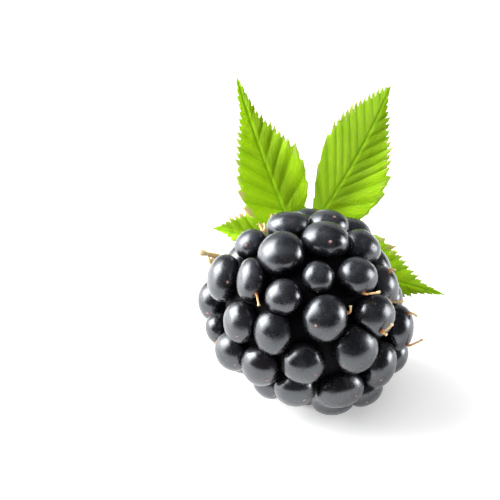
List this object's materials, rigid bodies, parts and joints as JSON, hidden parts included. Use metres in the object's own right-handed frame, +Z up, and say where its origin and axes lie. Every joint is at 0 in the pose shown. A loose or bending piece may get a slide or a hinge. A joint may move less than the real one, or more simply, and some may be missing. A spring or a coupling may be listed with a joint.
{
  "type": "bramble berry",
  "caption": "Ripe bramble berry lying on its side: a fruit of packed drupelets with dried styles, a star calyx, a short stalk and a leaf of serrated, pleated leaflets.",
  "frame": {"origin": "middle of the flat spot of the lowest drupelet, on the surface that the fruit rests on", "axes": "+Z up; -Y the way the fruit's tip points, roughly; +X to the right of a viewer who faces the tip"},
  "size_m": [0.028, 0.0384, 0.0255],
  "materials": {
    "berry": "waxy gloss",
    "dried_stamens": "dry, fibrous",
    "calyx": "downy, matte",
    "stalk": "green, slightly rough",
    "leaf": "soft sheen"
  },
  "bodies": {
    "root": {"berry": "berry", "dried_stamens": "dried_stamens", "calyx": "calyx", "stalk": "stalk", "leaflet_upper_left": "leaf", "leaflet_upper_right": "leaf", "leaflet_lower_right": "leaf", "leaflet_lower_left": "leaf"}
  },
  "joints": []
}
